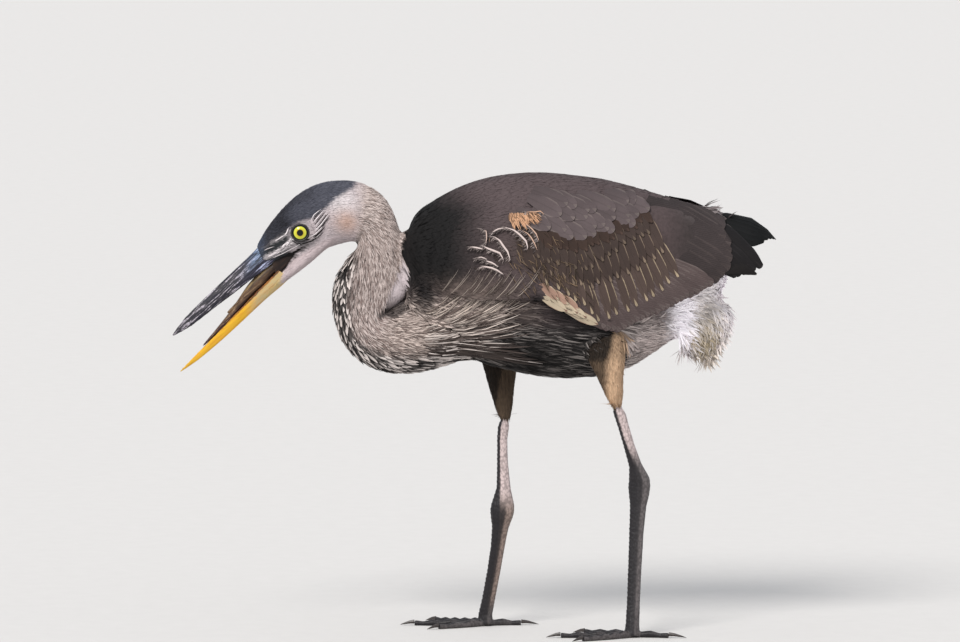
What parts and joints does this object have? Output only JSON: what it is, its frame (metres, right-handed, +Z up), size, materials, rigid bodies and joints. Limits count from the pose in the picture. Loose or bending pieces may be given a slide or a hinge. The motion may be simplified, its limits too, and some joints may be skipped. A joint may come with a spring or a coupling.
{
  "type": "great blue heron",
  "caption": "First-year great blue heron as a still life-size model, wading with a folded neck and an open bill, flat on both feet.",
  "frame": {"origin": "on the floor, under the middle of the bird's bounding box", "axes": "the bird faces -X, its left side faces -Y, +Z is up"},
  "size_m": [0.696, 0.1966, 0.536],
  "materials": {
    "feather_slate": "slate-grey crown feathers, soft and matte",
    "feather_white": "off-white downy feathers, matte",
    "feather_buff": "grey-buff streaked feathers, matte",
    "feather_brown": "grey-brown contour and flight feathers with pale edges, low sheen",
    "horn_dark": "dark slate horn, satin, fine lengthwise grain",
    "horn_yellow": "orange-yellow horn, satin",
    "tongue": "moist flesh",
    "leg_scale": "dark grey scaly skin, satin",
    "eye": "clear cornea over a yellow iris and a black pupil",
    "claw": "dark horn, satin"
  },
  "bodies": {
    "root": {"head": "feather_slate", "chin": "feather_white", "neck_nape": "feather_buff", "neck_upper": "feather_buff", "neck_fold": "feather_buff", "neck_base": "feather_buff", "eye_left": "eye", "eye_right": "eye", "bill_upper": "horn_dark", "bill_lower": "horn_yellow", "tongue": "tongue", "trunk": "feather_brown", "rump": "feather_brown", "vent": "feather_white", "tail": "feather_brown", "wing_left_coverts": "feather_brown", "wing_left_quills": "feather_brown", "wing_right_coverts": "feather_brown", "wing_right_quills": "feather_brown", "thigh_left": "feather_buff", "thigh_right": "feather_buff", "shank_left": "leg_scale", "shank_right": "leg_scale", "tarsus_left": "leg_scale", "tarsus_right": "leg_scale", "foot_left": "leg_scale", "foot_right": "leg_scale", "claw_left_middle": "claw", "claw_left_outer": "claw", "claw_left_inner": "claw", "claw_left_hind": "claw", "claw_right_middle": "claw", "claw_right_outer": "claw", "claw_right_inner": "claw", "claw_right_hind": "claw"}
  },
  "joints": []
}
